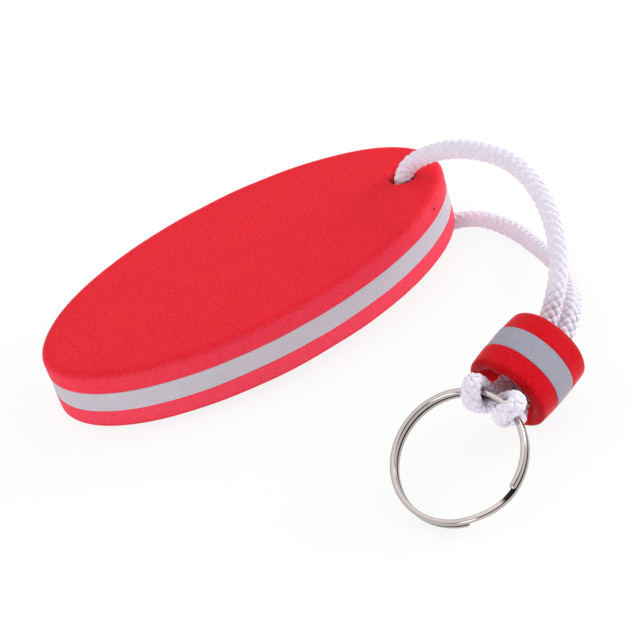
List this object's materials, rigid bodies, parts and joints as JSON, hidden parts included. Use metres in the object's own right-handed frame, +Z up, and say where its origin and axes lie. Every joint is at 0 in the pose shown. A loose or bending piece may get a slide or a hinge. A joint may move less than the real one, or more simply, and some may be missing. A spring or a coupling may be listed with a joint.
{
  "type": "floating keychain",
  "caption": "Oval layered foam float on a white braided cord, with a layered foam bead and a split ring.",
  "frame": {"origin": "on the table, under the middle of the box around the float, the bead and the ring", "axes": "+Z up from the table, +X along the float towards its corded tip, +Y away from the split ring"},
  "size_m": [0.1075, 0.1109, 0.0321],
  "materials": {
    "red_foam": "matte closed-cell foam",
    "grey_foam": "matte closed-cell foam",
    "nickel_steel": "bright nickel plate",
    "white_braid": "matte braided cord"
  },
  "bodies": {
    "root": {"float_bottom_layer": "red_foam", "float_middle_layer": "grey_foam", "float_top_layer": "red_foam", "bead_lower_layer": "red_foam", "bead_middle_layer": "grey_foam", "bead_upper_layer": "red_foam", "split_ring": "nickel_steel", "cord": "white_braid"}
  },
  "joints": []
}
